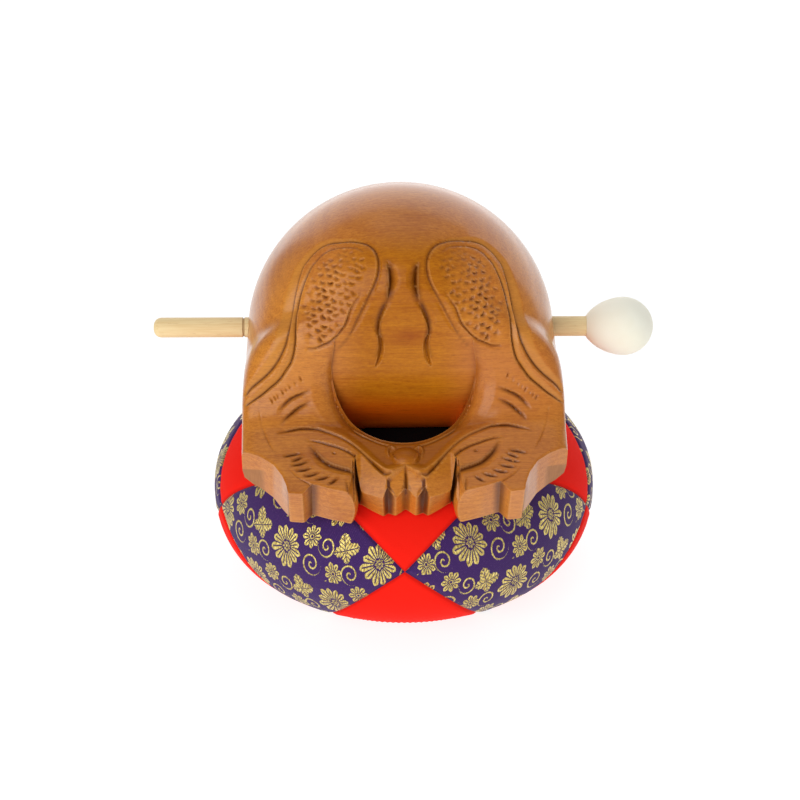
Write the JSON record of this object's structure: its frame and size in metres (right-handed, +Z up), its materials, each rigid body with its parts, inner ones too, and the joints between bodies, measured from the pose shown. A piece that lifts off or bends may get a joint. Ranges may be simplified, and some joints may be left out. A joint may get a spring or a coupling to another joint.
{
  "type": "mokugyo",
  "caption": "Carved hollow wooden fish drum with a ring handle of two fish heads, tipped on a stuffed patchwork cushion, its rubber-headed beater resting through the slit.",
  "frame": {"origin": "centre of the cushion's flat base, on the surface it stands on", "axes": "+Z up, +X along the beater towards its head, -Y towards the carved handle of the drum"},
  "size_m": [0.232, 0.1876, 0.1906],
  "materials": {
    "lacquered_wood": "satin-lacquered orange-brown wood, fine straight grain",
    "cushion_cloth": "plain red cloth and deep purple brocade with woven gold flowers and tendrils",
    "pale_wood": "pale unstained wood, sanded smooth",
    "cream_rubber": "smooth cream rubber, satin"
  },
  "bodies": {
    "root": {"drum": "lacquered_wood", "cushion": "cushion_cloth", "beater_stick": "pale_wood", "beater_head": "cream_rubber"}
  },
  "joints": []
}
